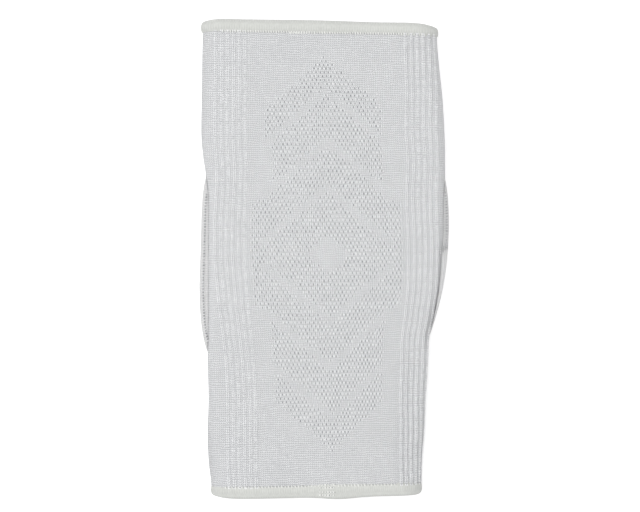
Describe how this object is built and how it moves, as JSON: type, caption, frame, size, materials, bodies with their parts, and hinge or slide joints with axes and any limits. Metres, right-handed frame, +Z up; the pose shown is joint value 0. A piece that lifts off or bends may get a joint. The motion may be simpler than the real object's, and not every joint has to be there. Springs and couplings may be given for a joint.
{
  "type": "volleyball knee pad",
  "caption": "Pull-on knitted knee sleeve lying flat on its padded front, with ribbed sides, an openwork diamond panel behind the knee and rolled elastic cuffs.",
  "frame": {"origin": "middle of the foot print, on the surface that the knee pad lies on", "axes": "+Y along the sleeve towards the thigh mouth, +X across it, +Z up from the surface, away from the padded front"},
  "size_m": [0.1402, 0.2704, 0.0211],
  "materials": {
    "white_knit": "matt elastic knit with ribs and openwork stitches, cool white",
    "ivory_elastic": "matt rolled elastic edging, warm white, overlocked along its inner edge",
    "white_cover": "matt close knit over foam, cool white, with a stitched rim"
  },
  "bodies": {
    "root": {"knit_sleeve": "white_knit", "thigh_cuff": "ivory_elastic", "calf_cuff": "ivory_elastic", "knee_pad": "white_cover"}
  },
  "joints": []
}
